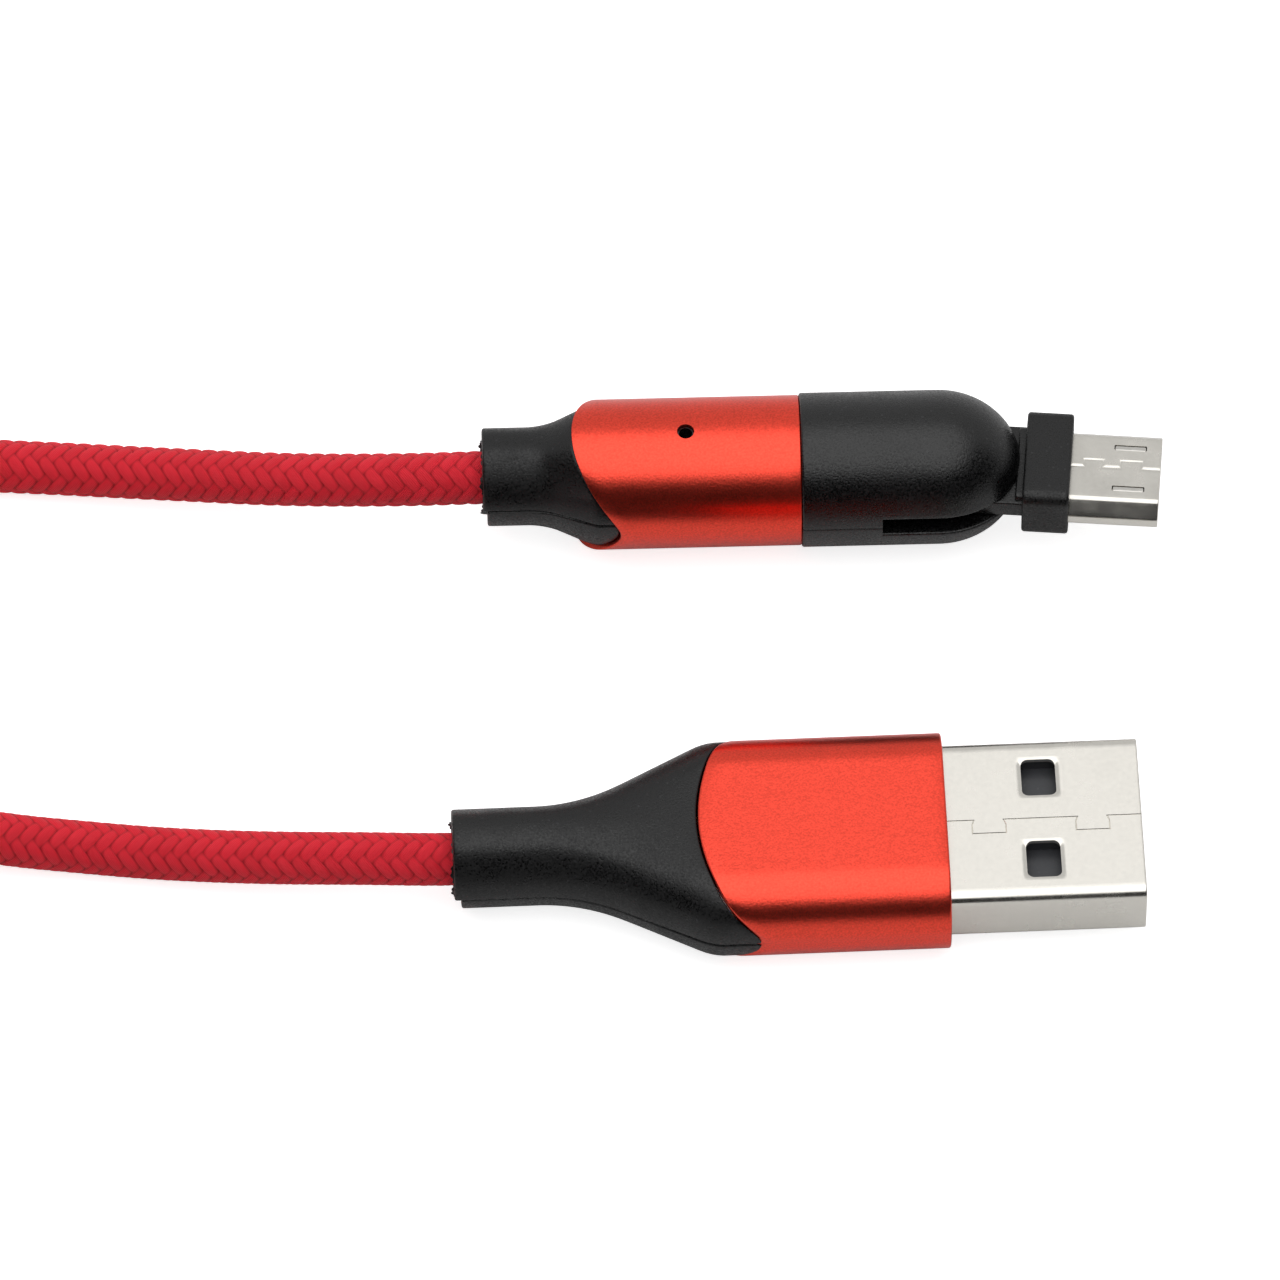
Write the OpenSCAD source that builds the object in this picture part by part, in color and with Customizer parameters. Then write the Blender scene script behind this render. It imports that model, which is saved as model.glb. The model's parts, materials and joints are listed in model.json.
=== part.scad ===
// Charging cable: a USB-A plug and a swivelling micro-USB plug on one
// braided cable. The swivel head carries the small plug on a flat arm
// that turns about an upright pin. The spare cable is folded into a
// waisted hank with a strap round its middle.
// X runs along the plugs, from the cable to the mouths; Z is up.

/* [USB-A plug] */
// Width of the plug shell
usb_shell_w = 12; // [11.9:0.05:12.1]
// Height of the plug shell
usb_shell_h = 4.5; // [4.4:0.05:4.6]
// Length of shell that stands out of the sleeve
usb_shell_out = 12.45; // [11.8:0.05:12.8]
// Thickness of the shell's sheet
usb_sheet = 0.3; // [0.25:0.05:0.35]
// Width of the aluminium sleeve
usb_sleeve_w = 14.6; // [14.2:0.1:15.2]
// Height of the aluminium sleeve
usb_sleeve_h = 7.2; // [7:0.1:7.6]
// Length of the sleeve from the tip of its tongue
usb_sleeve_len = 15.8; // [15:0.1:17]
// How far the sleeve's sides are cut back behind the tongue
usb_scallop = 4.4; // [3.5:0.1:5]
// Length of the boot behind the sleeve's tongue
usb_boot_len = 15.6; // [14:0.1:18]

/* [Micro plug] */
// Wide side of the micro shell
micro_w = 6.85; // [6.8:0.05:6.9]
// Narrow side of the micro shell
micro_top_w = 5.15; // [5:0.05:5.3]
// Height of the micro shell
micro_h = 1.8; // [1.75:0.05:1.85]
// Length of shell that stands out of the collar
micro_out = 5.75; // [5.4:0.05:6.2]
// Collar length along the plug
collar_len = 3; // [2.8:0.1:3.4]
// Collar width
collar_w = 7.5; // [7.2:0.1:8]
// Collar height
collar_h = 4; // [3.6:0.1:4.4]

/* [Swivel head] */
// Outer diameter of the head
head_d = 9.95; // [9.9:0.05:10.2]
// Distance from the head's flat base to the pivot
head_base = 8.9; // [8.5:0.1:9.5]
// How far the domed end reaches past the pivot
dome_len = 5.4; // [5:0.1:5.4]
// Width of the slot that the arm turns in
slot_h = 1.45; // [1.4:0.05:1.6]
// How far the slot runs back behind the pivot
slot_back = 3.75; // [3.7:0.05:3.9]
// Width of the flat arm
arm_w = 6.4; // [6:0.1:6.6]
// Thickness of the arm
arm_t = 1.3; // [1.2:0.05:1.3]
// Distance from the pivot to the collar
collar_x = 5.6; // [5.5:0.1:6]
// Radius of the pivot pin
pin_r = 1; // [0.9:0.05:1.1]
// Angle at which the plug lies, from straight
swivel_rest = -5.7; // [-90:0.1:90]

/* [Micro end body] */
// Outer diameter of the round sleeve
micro_sleeve_d = 9.7; // [9.6:0.05:9.8]
// Length of the round sleeve from the tip of its tongue
micro_sleeve_len = 14.8; // [14:0.1:16]
// How far the round sleeve's sides are cut back
micro_scallop = 3.1; // [2.5:0.1:3.5]
// Length of the boot behind the tongue
micro_boot_len = 5.7; // [5.5:0.1:8]
// Diameter of the light hole in the sleeve
led_hole_d = 1.1; // [1:0.05:1.3]

/* [Cable] */
// Diameter over the braid
cable_d = 3.5; // [3.4:0.05:3.5]
// Length of a straight run in the hank
hank_run = 50; // [48:1:54]

/* [Hidden] */

$fn = 64;
eps = 0.01;
sleeve_wall = 0.8;
edge_gap = 0.1;            // between a boot and its sleeve's rear edge
bore_gap = 0.05;           // between the cable and a boot's bore

// Colours, as on the real pieces
red = "#d8402f";
black = "#1c1c1e";
nickel = "#c9c5bb";
gold = "#d0a445";
braid_red = "#cf2a3a";

// Where the two ends lie: the USB sleeve's front end, and the pivot
usb_front = [7.86, -12.72, usb_sleeve_h / 2];
pivot = [8.88, 14.81, head_d / 2];
micro_yaw = -1;            // the micro end's turn from the USB end
head_roll = -5;            // how far each piece has rolled about the
boot_roll = -10;           // micro end's own axis as it lies

// USB end, along X from the sleeve's front end
usb_tongue_x = -usb_sleeve_len;
usb_rear_x = usb_tongue_x - usb_boot_len;
usb_tail_x = -6;           // rear end of the shell inside the mould
usb_corner = 2.4;
usb_tube_r = 3.175;
usb_flare = [5.3, 11];  // where the boot's flare starts, and its length
window = [2.5, 2.8];       // latch windows, along X and Y
window_x = usb_shell_out - 5.15 - window[0] / 2;
window_y = 3.05;
usb_pins = [-3.5, -1, 1, 3.5];
usb_in_w = usb_shell_w - 2 * usb_sheet;
usb_in_h = usb_shell_h - 2 * usb_sheet;
usb_mould_w = usb_sleeve_w - 2 * sleeve_wall;
usb_mould_h = usb_sleeve_h - 2 * sleeve_wall;
usb_mould_back = usb_tongue_x + 0.9;

// Micro end, along X from the pivot
micro_tongue_x = -head_base - micro_sleeve_len;
micro_rear_x = micro_tongue_x - micro_boot_len;
micro_tube_r = 3.125;
micro_flare = [3.5, 4.5];
micro_core_r = micro_sleeve_d / 2 - sleeve_wall;
micro_mould_back = micro_tongue_x + 2.4;
spigot = [3.4, 3.4];       // radius and length of the part in the head
led_x = -head_base - 7.4;
hub_r = 3.5;
arm_end = collar_x + 1.4;  // the arm's end inside the collar
shell_tail = collar_x + 1.9;
micro_tip = collar_x + collar_len + micro_out;
micro_sheet = 0.25;
micro_pitch = 0.65;
latch_y = 1.67;
latch_slot = [2.1, 0.55];
latch_slot_x = micro_tip - 2;

// The hank: two columns and three layers of runs, waisted at its middle
fold_r = [10.5, 14];
hank_front = -82;          // centre of the front folds
hank_y = 6.3;
hank_mid = hank_front - hank_run / 2;
hank_lift = 0.6;           // the strap's thickness under the runs
hank_h = 3 * cable_d;
hank_r = fold_r[1] + cable_d / 2;
waist = 8.75;
tie_w = 9;

// The leads, from inside each boot to the hank
micro_route = [
    [-16.6, 15.3, 5], [-21, 15.3, 5], [-26, 15.5, 4.8], [-33, 16.3, 3.8],
    [-40, 17.6, 2.7], [-47, 18.9, 2], [-54, 20, 1.75], [-62, 21.2, 1.75],
    [-70, 22.2, 1.8], [-77, 22.7, 2.1], [-83, 22.2, 2.3], [-88, 20.2, 2.35],
];
usb_route = [
    [-15.6, -12.7, 3.6], [-24, -12.7, 3.6], [-29, -12.5, 3.4],
    [-36, -11.9, 2.6], [-42, -11, 1.9], [-47, -10.1, 1.75],
    [-52, -9.4, 2.3], [-58, -8.7, 4.1], [-64, -8.2, 6.6],
    [-70, -7.8, 8.7], [-76, -7.7, 9.3], [-82, -7.7, 9.35],
];

// ---- Shapes that repeat ----

module at_usb() translate(usb_front) children();
module at_micro(roll = 0)
    translate(pivot) rotate([0, 0, micro_yaw]) rotate([roll, 0, 0]) children();
module at_plug() at_micro(head_roll) rotate([0, 0, swivel_rest]) children();

// A rounded rectangle, its corners true arcs
module round_rect(w, h, r) {
    square([w - 2 * r, h], center = true);
    square([w, h - 2 * r], center = true);
    for (y = [-1, 1], z = [-1, 1])
        translate([y * (w / 2 - r), z * (h / 2 - r)]) circle(r);
}

// A prism along X whose outline is drawn in Y and Z
module along_x(x0, x1)
    translate([x0, 0, 0]) rotate([90, 0, 90]) linear_extrude(x1 - x0) children();

module bar(x0, x1, w, z0, z1, y = 0)
    translate([x0, y - w / 2, z0]) cube([x1 - x0, w, z1 - z0]);

module rod(x0, x1, r) translate([x0, 0, 0]) rotate([0, 90, 0]) cylinder(h = x1 - x0, r = r);

// A round core between two points
module core(a, b, r = 0.3) {
    v = b - a;
    translate(a) rotate([0, acos(v[2] / norm(v)), atan2(v[1], v[0])])
        cylinder(h = norm(v), r = r, $fn = 24);
}

// Half of an ellipse that a sleeve's tongue follows, seen from above
function tongue(tip, depth, half_w, steps = 24) =
    [for (i = [0 : steps]) let (t = -90 + 180 * i / steps)
        [tip + depth * (1 - cos(t)), half_w * sin(t)]];

// All that lies behind a sleeve's rear edge, as far back as the boot goes:
// it is cut from the sleeve, and the boot is kept inside it
module behind_tongue(tip, depth, half_w, back)
    translate([0, 0, -2 * half_w]) linear_extrude(4 * half_w)
        polygon(concat([[tip - back, half_w + 1]], [[tip - back, -half_w - 1]],
            [[tip + depth, -half_w - 1]], tongue(tip, depth, half_w),
            [[tip + depth, half_w + 1]]));

// The flare of a boot from 0 at its tube to 1 at the sleeve: a parabola,
// then a straight cone
function flare(t) = t <= 0 ? 0 : t < 0.5 ? 4 / 3 * t * t
    : min(1, 1 / 3 + 4 / 3 * (t - 0.5));

// The upper half outline of a rounded rectangle, from +Y over the top to
// -Y, and a half circle with the same number of points
arc_steps = 6;
top_steps = 8;
outline_steps = 2 * arc_steps + top_steps + 2;
function half_rect(a, b, r) = concat(
    [[a, 0]],
    [for (i = [0 : arc_steps]) let (t = 90 * i / arc_steps)
        [a - r + r * cos(t), b - r + r * sin(t)]],
    [for (i = [1 : top_steps - 1]) [(a - r) * (1 - 2 * i / top_steps), b]],
    [for (i = [0 : arc_steps]) let (t = 90 + 90 * i / arc_steps)
        [-(a - r) + r * cos(t), b - r + r * sin(t)]],
    [[-a, 0]]);
function half_circle(r) = [for (i = [0 : outline_steps])
    [r * cos(180 * i / outline_steps), r * sin(180 * i / outline_steps)]];

// One half shell of a boot. Its outline grows from the tube's circle to
// the sleeve's outer and inner outlines, sooner above and below, where
// the tongue's tip meets it. Roll is its turn from the sleeve.
module boot_half(rear, tip, depth, tube_r, outside, inside, flare_at, roll = 0, steps = 16) {
    n = len(outside);
    tube = half_circle(tube_r);
    bore = half_circle(cable_d / 2 + bore_gap);
    function across(j) = (outside[j][0] * cos(roll) - outside[j][1] * sin(roll)) / outside[0][0];
    function edge_x(j) = tip + depth * (1 - sqrt(max(0, 1 - pow(across(j), 2))));
    function part_of(x, j) = let (start = rear + flare_at[0])
        flare((x - start) / (min(edge_x(j) - edge_gap, start + flare_at[1]) - start));
    function on_ring(i, j, from, to) = let (
            x = rear + (tip + depth - rear) * i / steps,
            p = from[j] + (to[j] - from[j]) * part_of(x, j))
        [x, p[0], p[1]];
    points = [for (i = [0 : steps]) each concat(
        [for (j = [0 : n - 1]) on_ring(i, j, tube, outside)],
        [for (j = [n - 1 : -1 : 0]) on_ring(i, j, bore, inside)])];
    m = 2 * n;
    faces = concat(
        [for (i = [0 : steps - 1], k = [0 : m - 1]) each let (
                a = i * m + k, b = i * m + (k + 1) % m, c = b + m, d = a + m)
            [[a, b, c], [a, c, d]]],
        [for (k = [0 : n - 2]) each [[k, m - 1 - k, m - 2 - k], [k, m - 2 - k, k + 1]]],
        [for (k = [0 : n - 2]) let (s = steps * m) each
            [[s + k, s + m - 2 - k, s + m - 1 - k], [s + k, s + k + 1, s + m - 2 - k]]]);
    polyhedron(points, faces, convexity = 6);
}

// A tube swept along a route of points
function unit(v) = v / norm(v);
module cord_tube(route, sides = 8) {
    n = len(route);
    function heading(i) = unit(route[min(i + 1, n - 1)] - route[max(i - 1, 0)]);
    points = [for (i = [0 : n - 1]) let (
            t = heading(i), s = unit(cross([0, 0, 1], t)), u = cross(t, s))
        for (k = [0 : sides - 1]) let (w = 360 * (k + 0.5) / sides)
            route[i] + cable_d / 2 * (s * cos(w) + u * sin(w))];
    faces = concat(
        [[for (k = [sides - 1 : -1 : 0]) k]],
        [for (i = [0 : n - 2], k = [0 : sides - 1]) each let (
                a = i * sides + k, b = i * sides + (k + 1) % sides)
            [[a, b, b + sides], [a, b + sides, a + sides]]],
        [[for (k = [0 : sides - 1]) (n - 1) * sides + k]]);
    polyhedron(points, faces);
}

// ---- USB-A end ----

module usb_shell() color(nickel) at_usb() difference() {
    along_x(usb_tail_x, usb_shell_out) round_rect(usb_shell_w, usb_shell_h, 0.6);
    along_x(usb_tail_x - 1, usb_shell_out + 1) round_rect(usb_in_w, usb_in_h, 0.3);
    for (y = [-window_y, window_y])
        translate([window_x, y, -usb_shell_h]) linear_extrude(2 * usb_shell_h)
            round_rect(window[0], window[1], 0.5);
}

module usb_contact_bars(grow = 0) for (y = usb_pins)
    bar(usb_tail_x - 2, usb_shell_out - (abs(y) > 2 ? 1.2 : 2.2), 1 + grow, -0.2, 0, y);

// The tongue lies against the seam side and has a pocket under each window
module usb_insulator() color("#26262a") at_usb() difference() {
    union() {
        bar(usb_tail_x, 0.6, usb_in_w - 0.4, -usb_in_h / 2, usb_in_h / 2);
        bar(usb_tail_x, usb_shell_out - 0.3, usb_in_w - 0.4, 0, usb_in_h / 2);
    }
    usb_contact_bars();
    for (y = [-window_y, window_y])
        bar(window_x - 1.5, window_x + 1.5, window[1] + 0.2, 0.9, 3, y);
}

module usb_contacts() color(gold) at_usb() usb_contact_bars();

module usb_inner_mould() color("#e9e6df") at_usb() difference() {
    along_x(usb_mould_back, -0.4) round_rect(usb_mould_w, usb_mould_h, 1.6);
    along_x(usb_tail_x, 1) round_rect(usb_shell_w, usb_shell_h, 0.6);
    bar(usb_mould_back - 1, usb_tail_x + eps, 9.4, -1.2, 1.2);
}

module behind_usb_tongue()
    behind_tongue(usb_tongue_x, usb_scallop, usb_sleeve_w / 2, usb_boot_len + 1);

module usb_sleeve() color(red) at_usb() difference() {
    along_x(usb_tongue_x, 0) round_rect(usb_sleeve_w, usb_sleeve_h, usb_corner);
    along_x(usb_tongue_x - 1, 1) round_rect(usb_mould_w, usb_mould_h, 1.6);
    behind_usb_tongue();
}

module usb_boot_half() intersection() {
    boot_half(usb_rear_x, usb_tongue_x, usb_scallop, usb_tube_r,
        half_rect(usb_sleeve_w / 2, usb_sleeve_h / 2, usb_corner),
        half_rect(usb_mould_w / 2, usb_mould_h / 2, usb_corner - sleeve_wall), usb_flare);
    translate([-edge_gap, 0, 0]) behind_usb_tongue();
}
module usb_boot_upper() color(black) at_usb() usb_boot_half();
module usb_boot_lower() color(black) at_usb() mirror([0, 0, 1]) usb_boot_half();

// A crimped ring grips the cable's jacket inside the boot
module cable_clamp(x, r) difference() {
    rod(x, x + 2.4, r);
    rod(x - 1, x + 4, 1.3);
}
usb_clamp_x = usb_rear_x + 8;
module usb_cable_clamp() color(nickel) at_usb() cable_clamp(usb_clamp_x, 1.75);

// Four cores fan out from the clamp to the contacts' tails
module usb_cores() color("#b8703a") at_usb() for (y = usb_pins)
    core([usb_clamp_x + 0.4, sign(y) * 0.55, abs(y) > 2 ? 0.5 : -0.5],
        [usb_tail_x - 1, y, 0.32]);

// ---- Micro end: what stays still ----

// The outer form of the head: a round bar with a domed end
module head_form() {
    rod(-head_base, 0, head_d / 2);
    rotate([0, 90, 0]) rotate_extrude($fn = 96) polygon(concat([[0, 0]],
        [for (i = [0 : 20]) [head_d / 2 * cos(4.5 * i), dome_len * sin(4.5 * i)]]));
}

// One half of the head. Both halves clamp the core's spigot and the pin.
module head_half(side) difference() {
    intersection() {
        head_form();
        translate([-20, -10, side > 0 ? 0 : -10]) cube([30, 20, 10]);
    }
    rod(-head_base - 1, -head_base + spigot[1], spigot[0]);
    bar(-head_base, -slot_back, 4, -1, 1);
    bar(-slot_back, 10, 20, -slot_h / 2, slot_h / 2);
    translate([0, 0, -3.6]) cylinder(h = 7.2, r = pin_r);
}
module head_upper() color(black) at_micro(head_roll) head_half(1);
module head_lower() color(black) at_micro(head_roll) head_half(-1);

module pivot_pin() color(nickel) at_micro(head_roll)
    translate([0, 0, -3.6]) cylinder(h = 7.2, r = pin_r);

module micro_inner_mould() color("#e9e6df") at_micro() difference() {
    union() {
        rod(micro_mould_back, -head_base, micro_core_r);
        rod(-head_base - eps, -head_base + spigot[1], spigot[0]);
    }
    bar(micro_mould_back - 1, -head_base + spigot[1] + 1, 3.6, -1, 1);
    bar(led_x - 3.2, led_x + 3.2, 3.4, 1.6, 3.2);
    translate([led_x, 0, 2]) cylinder(h = 4, r = led_hole_d / 2);
}

module behind_micro_tongue()
    behind_tongue(micro_tongue_x, micro_scallop, micro_sleeve_d / 2, micro_boot_len + 1);

module micro_sleeve() color(red) at_micro() difference() {
    rod(micro_tongue_x, -head_base, micro_sleeve_d / 2);
    rod(micro_tongue_x - 1, 0, micro_core_r);
    behind_micro_tongue();
    translate([led_x, 0, 2]) cylinder(h = 4, r = led_hole_d / 2);
}

module led_board() color("#2f6b46") at_micro() bar(led_x - 3, led_x + 3, 3, 1.7, 2.3);

module status_led() color("#f4f1dc") at_micro() {
    bar(led_x - 0.8, led_x + 0.8, 0.8, 2.3, 2.7);
    translate([led_x, 0, 2.7]) cylinder(h = 0.3, r = 0.35);
}

module micro_boot_half(roll) boot_half(micro_rear_x, micro_tongue_x, micro_scallop,
    micro_tube_r, half_circle(micro_sleeve_d / 2), half_circle(micro_core_r), micro_flare, roll);
module micro_boot_trim() at_micro() translate([-edge_gap, 0, 0]) behind_micro_tongue();
module micro_boot_upper() color(black) intersection() {
    at_micro(boot_roll) micro_boot_half(boot_roll);
    micro_boot_trim();
}
module micro_boot_lower() color(black) intersection() {
    at_micro(boot_roll) mirror([0, 0, 1]) micro_boot_half(-boot_roll);
    micro_boot_trim();
}

micro_clamp_x = micro_rear_x + 4;
module micro_cable_clamp() color(nickel) at_micro() cable_clamp(micro_clamp_x, 1.75);

module micro_cores() color("#b8703a") at_micro() for (y = [-1, 1], z = [-1, 1])
    core([micro_clamp_x + 0.4, 0.5 * y, 0.5 * z], [-slot_back - 0.6, 1.1 * y, 0.5 * z]);

// ---- Micro end: what turns with the plug ----

module swivel_arm() color(black) at_plug() difference() {
    union() {
        translate([0, 0, -arm_t / 2]) cylinder(h = arm_t, r = hub_r);
        bar(0, arm_end, arm_w, -arm_t / 2, arm_t / 2);
    }
    translate([0, 0, -arm_t]) cylinder(h = 2 * arm_t, r = pin_r + 0.03);
}

module plug_collar() color(black) at_plug() difference() {
    along_x(collar_x, collar_x + collar_len) round_rect(collar_w, collar_h, 0.6);
    bar(collar_x - 1, arm_end, arm_w, -arm_t / 2, arm_t / 2);
    along_x(shell_tail, micro_tip) micro_outline(0);
}

// The micro shell's outline: upright walls by the wide side, then slopes
// to the narrow side, which faces up
module micro_outline(inset) {
    a = micro_w / 2 - inset;
    b = micro_top_w / 2 - inset * 0.8;
    z0 = -micro_h / 2 + inset;
    z1 = micro_h / 2 - inset;
    knee = -micro_h / 2 + 0.84;
    polygon([[-a, z0], [a, z0], [a, knee], [b, z1], [-b, z1], [-a, knee]]);
}

module micro_shell() color(nickel) at_plug() difference() {
    along_x(shell_tail, micro_tip) micro_outline(0);
    along_x(shell_tail - 1, micro_tip + 1) micro_outline(micro_sheet);
    for (y = [-latch_y, latch_y])
        bar(latch_slot_x - latch_slot[0] / 2, latch_slot_x + latch_slot[0] / 2,
            latch_slot[1], 0, 2, y);
}

module micro_contact_bars() for (i = [-2 : 2])
    bar(shell_tail, micro_tip - 0.7, 0.35, -0.12, 0.03, i * micro_pitch);
module latch_bars() for (y = [-latch_y, latch_y]) {
    bar(shell_tail + 0.4, micro_tip - 1.2, 0.4, 0.4, 0.62, y);
    bar(latch_slot_x - 0.4, latch_slot_x + 0.7, 0.4, 0.4, 1.05, y);
}

module micro_insulator() color("#26262a") at_plug() difference() {
    union() {
        bar(shell_tail, collar_x + collar_len + 0.6, 4.2, -0.62, 0.64);
        bar(shell_tail, micro_tip - 0.35, 4.2, 0.03, 0.64);
    }
    micro_contact_bars();
    for (y = [-latch_y, latch_y]) bar(shell_tail, micro_tip, 0.42, 0.38, 1, y);
}

module micro_contacts() color(gold) at_plug() micro_contact_bars();
module micro_latches() color(nickel) at_plug() latch_bars();

// ---- The cable ----

module micro_lead() color(braid_red) cord_tube(micro_route);
module usb_lead() color(braid_red) cord_tube(usb_route);

// The hank's outline: two round folds, joined by runs that draw in to the
// strap as a cosine bell
function pinch(t) = waist * (1 - cos(360 * t)) / 2;
module cable_hank() color(braid_red) translate([0, hank_y, hank_lift]) linear_extrude(hank_h)
    polygon(concat(
        [for (i = [0 : 16]) let (t = -90 + 180 * i / 16)
            [hank_front + hank_r * cos(t), hank_r * sin(t)]],
        [for (i = [1 : 15]) [hank_front - hank_run * i / 16, hank_r - pinch(i / 16)]],
        [for (i = [0 : 16]) let (t = 90 + 180 * i / 16)
            [hank_front - hank_run + hank_r * cos(t), hank_r * sin(t)]],
        [for (i = [15 : -1 : 1]) [hank_front - hank_run * i / 16, pinch(i / 16) - hank_r]]));

tie_in_w = 2 * (hank_r - waist) + 0.6;
module hank_tie() color("#2a2a2c") translate([0, hank_y, hank_lift + hank_h / 2])
    difference() {
        along_x(hank_mid - tie_w / 2, hank_mid + tie_w / 2)
            round_rect(tie_in_w + 2 * hank_lift, hank_h + 2 * hank_lift, 1.4);
        along_x(hank_mid - tie_w, hank_mid + tie_w) round_rect(tie_in_w, hank_h, 0.8);
    }

usb_shell();
usb_insulator();
usb_contacts();
usb_inner_mould();
usb_sleeve();
usb_boot_upper();
usb_boot_lower();
usb_cable_clamp();
usb_cores();
head_upper();
head_lower();
pivot_pin();
micro_inner_mould();
micro_sleeve();
status_led();
led_board();
micro_boot_upper();
micro_boot_lower();
micro_cable_clamp();
micro_cores();
swivel_arm();
plug_collar();
micro_shell();
micro_insulator();
micro_contacts();
micro_latches();
micro_lead();
usb_lead();
cable_hank();
hank_tie();
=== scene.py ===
"""A charging cable: a USB-A plug and a swivelling micro-USB plug on one braided cord."""

import json
import math

import bmesh
import bpy
import numpy as np
from mathutils import Matrix, Vector


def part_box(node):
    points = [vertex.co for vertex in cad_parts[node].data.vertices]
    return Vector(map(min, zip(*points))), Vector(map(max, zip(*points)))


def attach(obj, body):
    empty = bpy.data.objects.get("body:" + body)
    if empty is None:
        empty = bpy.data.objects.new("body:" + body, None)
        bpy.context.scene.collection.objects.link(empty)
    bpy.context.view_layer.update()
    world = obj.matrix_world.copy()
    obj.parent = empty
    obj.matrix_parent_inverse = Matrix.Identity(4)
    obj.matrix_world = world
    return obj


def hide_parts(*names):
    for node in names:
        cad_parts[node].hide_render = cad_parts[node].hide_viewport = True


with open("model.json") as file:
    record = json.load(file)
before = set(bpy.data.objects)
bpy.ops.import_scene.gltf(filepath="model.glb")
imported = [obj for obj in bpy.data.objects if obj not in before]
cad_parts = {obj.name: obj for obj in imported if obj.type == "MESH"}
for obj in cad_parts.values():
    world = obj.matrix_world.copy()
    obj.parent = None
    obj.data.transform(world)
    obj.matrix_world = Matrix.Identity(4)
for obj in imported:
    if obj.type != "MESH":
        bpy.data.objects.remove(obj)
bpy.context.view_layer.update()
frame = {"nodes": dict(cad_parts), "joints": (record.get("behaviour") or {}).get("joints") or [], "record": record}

MM = 0.001


# ---- Camera ----------------------------------------------------------
# A long lens about a metre away looks down on both plugs, which lie side by side. The leads
# run out of the picture on the left.

camera_aim = Vector((-10.78, 5.60, 0.0)) * MM
camera_elevation = math.radians(57.3)
camera_azimuth = math.radians(-2.6)
camera_distance = 1031 * MM

towards_camera = Vector((math.sin(camera_azimuth) * math.cos(camera_elevation),
                         -math.cos(camera_azimuth) * math.cos(camera_elevation),
                         math.sin(camera_elevation)))
lens = bpy.data.cameras.new("camera")
lens.sensor_width = 36
lens.lens = 450
lens.clip_start = 0.05
camera = bpy.data.objects.new("camera", lens)
camera.location = camera_aim + towards_camera * camera_distance
camera.rotation_euler = (-towards_camera).to_track_quat("-Z", "Y").to_euler()
bpy.context.scene.collection.objects.link(camera)
bpy.context.scene.camera = camera


# ---- Braided cord ----------------------------------------------------
# One cord of plaited nylon yarn, 3.5 mm over the braid. Sixteen flat strands, eight each way
# round, pass over two and under two. It leaves the micro boot, lies along the table, goes
# round the hank and comes back to the USB boot.

cord_d = 3.5
micro_route = [
    (-16.6, 15.3, 5), (-21, 15.3, 5), (-26, 15.5, 4.8), (-33, 16.5, 3.8),
    (-40, 17.9, 2.7), (-47, 19.1, 2), (-54, 20, 1.75), (-62, 21.2, 1.75),
    (-70, 22.2, 1.8), (-77, 22.7, 2.1),
]
usb_route = [
    (-15.6, -12.7, 3.6), (-24, -12.7, 3.6), (-29, -12.3, 3.4), (-36, -11.4, 2.6),
    (-42, -10.4, 1.9), (-47, -9.6, 1.75), (-52, -9.1, 2.3), (-58, -8.7, 4.1),
    (-64, -8.2, 6.6), (-70, -7.8, 8.7), (-76, -7.7, 9.3),
]

hank_low, hank_high = (np.array(c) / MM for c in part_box("cable_hank"))
column_r = (10.5, 14.0)
outer_r = column_r[1] + cord_d / 2
hank_front = hank_high[0] - outer_r
hank_run = hank_high[0] - hank_low[0] - 2 * outer_r
hank_y = (hank_high[1] + hank_low[1]) / 2
waist = 8.75


def ease(t):
    """A smooth step from 0 to 1."""
    t = np.clip(t, 0, 1)
    return t * t * (3 - 2 * t)


def hank_track(step=3.2):
    """The folded turns: two runs joined by two round folds, followed as one track. The turns
    go outer, inner, inner, outer, outer, and each moves to its next place behind the front
    fold while the one below it moves out of its way."""
    mean_r = sum(column_r) / 2
    fold = math.pi * mean_r
    turn = 2 * hank_run + 2 * fold
    leave = 2 * hank_run + fold
    move, lead = 29.9, 8.5
    q = np.arange(4.0, 4 * turn + leave - 2, step)
    shift_in = ease((q - leave - 3 * lead) / move)
    rise_one = ease((q - turn - leave - 2 * lead) / move)
    shift_out = ease((q - 2 * turn - leave - lead) / move)
    rise_two = ease((q - 3 * turn - leave) / move)
    entering = cord_d * (1 - ease((q + turn - leave - 3 * lead) / move))
    c = column_r[1] - cord_d * (shift_in - shift_out) + entering
    z = hank_low[2] + cord_d * (0.5 + rise_one + rise_two)
    p = q % turn
    far_angle = (p - hank_run) / mean_r
    near_angle = (p - leave) / mean_r
    along = np.where(p < hank_run, p, 2 * hank_run + fold - p)
    run_c = c - waist * (1 - np.cos(2 * np.pi * along / hank_run)) / 2
    stretch = [p < hank_run, p < hank_run + fold, p < leave]
    x = np.select(stretch, [hank_front - along,
                            hank_front - hank_run - c * np.sin(far_angle),
                            hank_front - along],
                  hank_front + c * np.sin(near_angle))
    y = np.select(stretch, [run_c, c * np.cos(far_angle), -run_c], -c * np.cos(near_angle))
    return np.stack([x, y + hank_y, z], axis=1)


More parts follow.
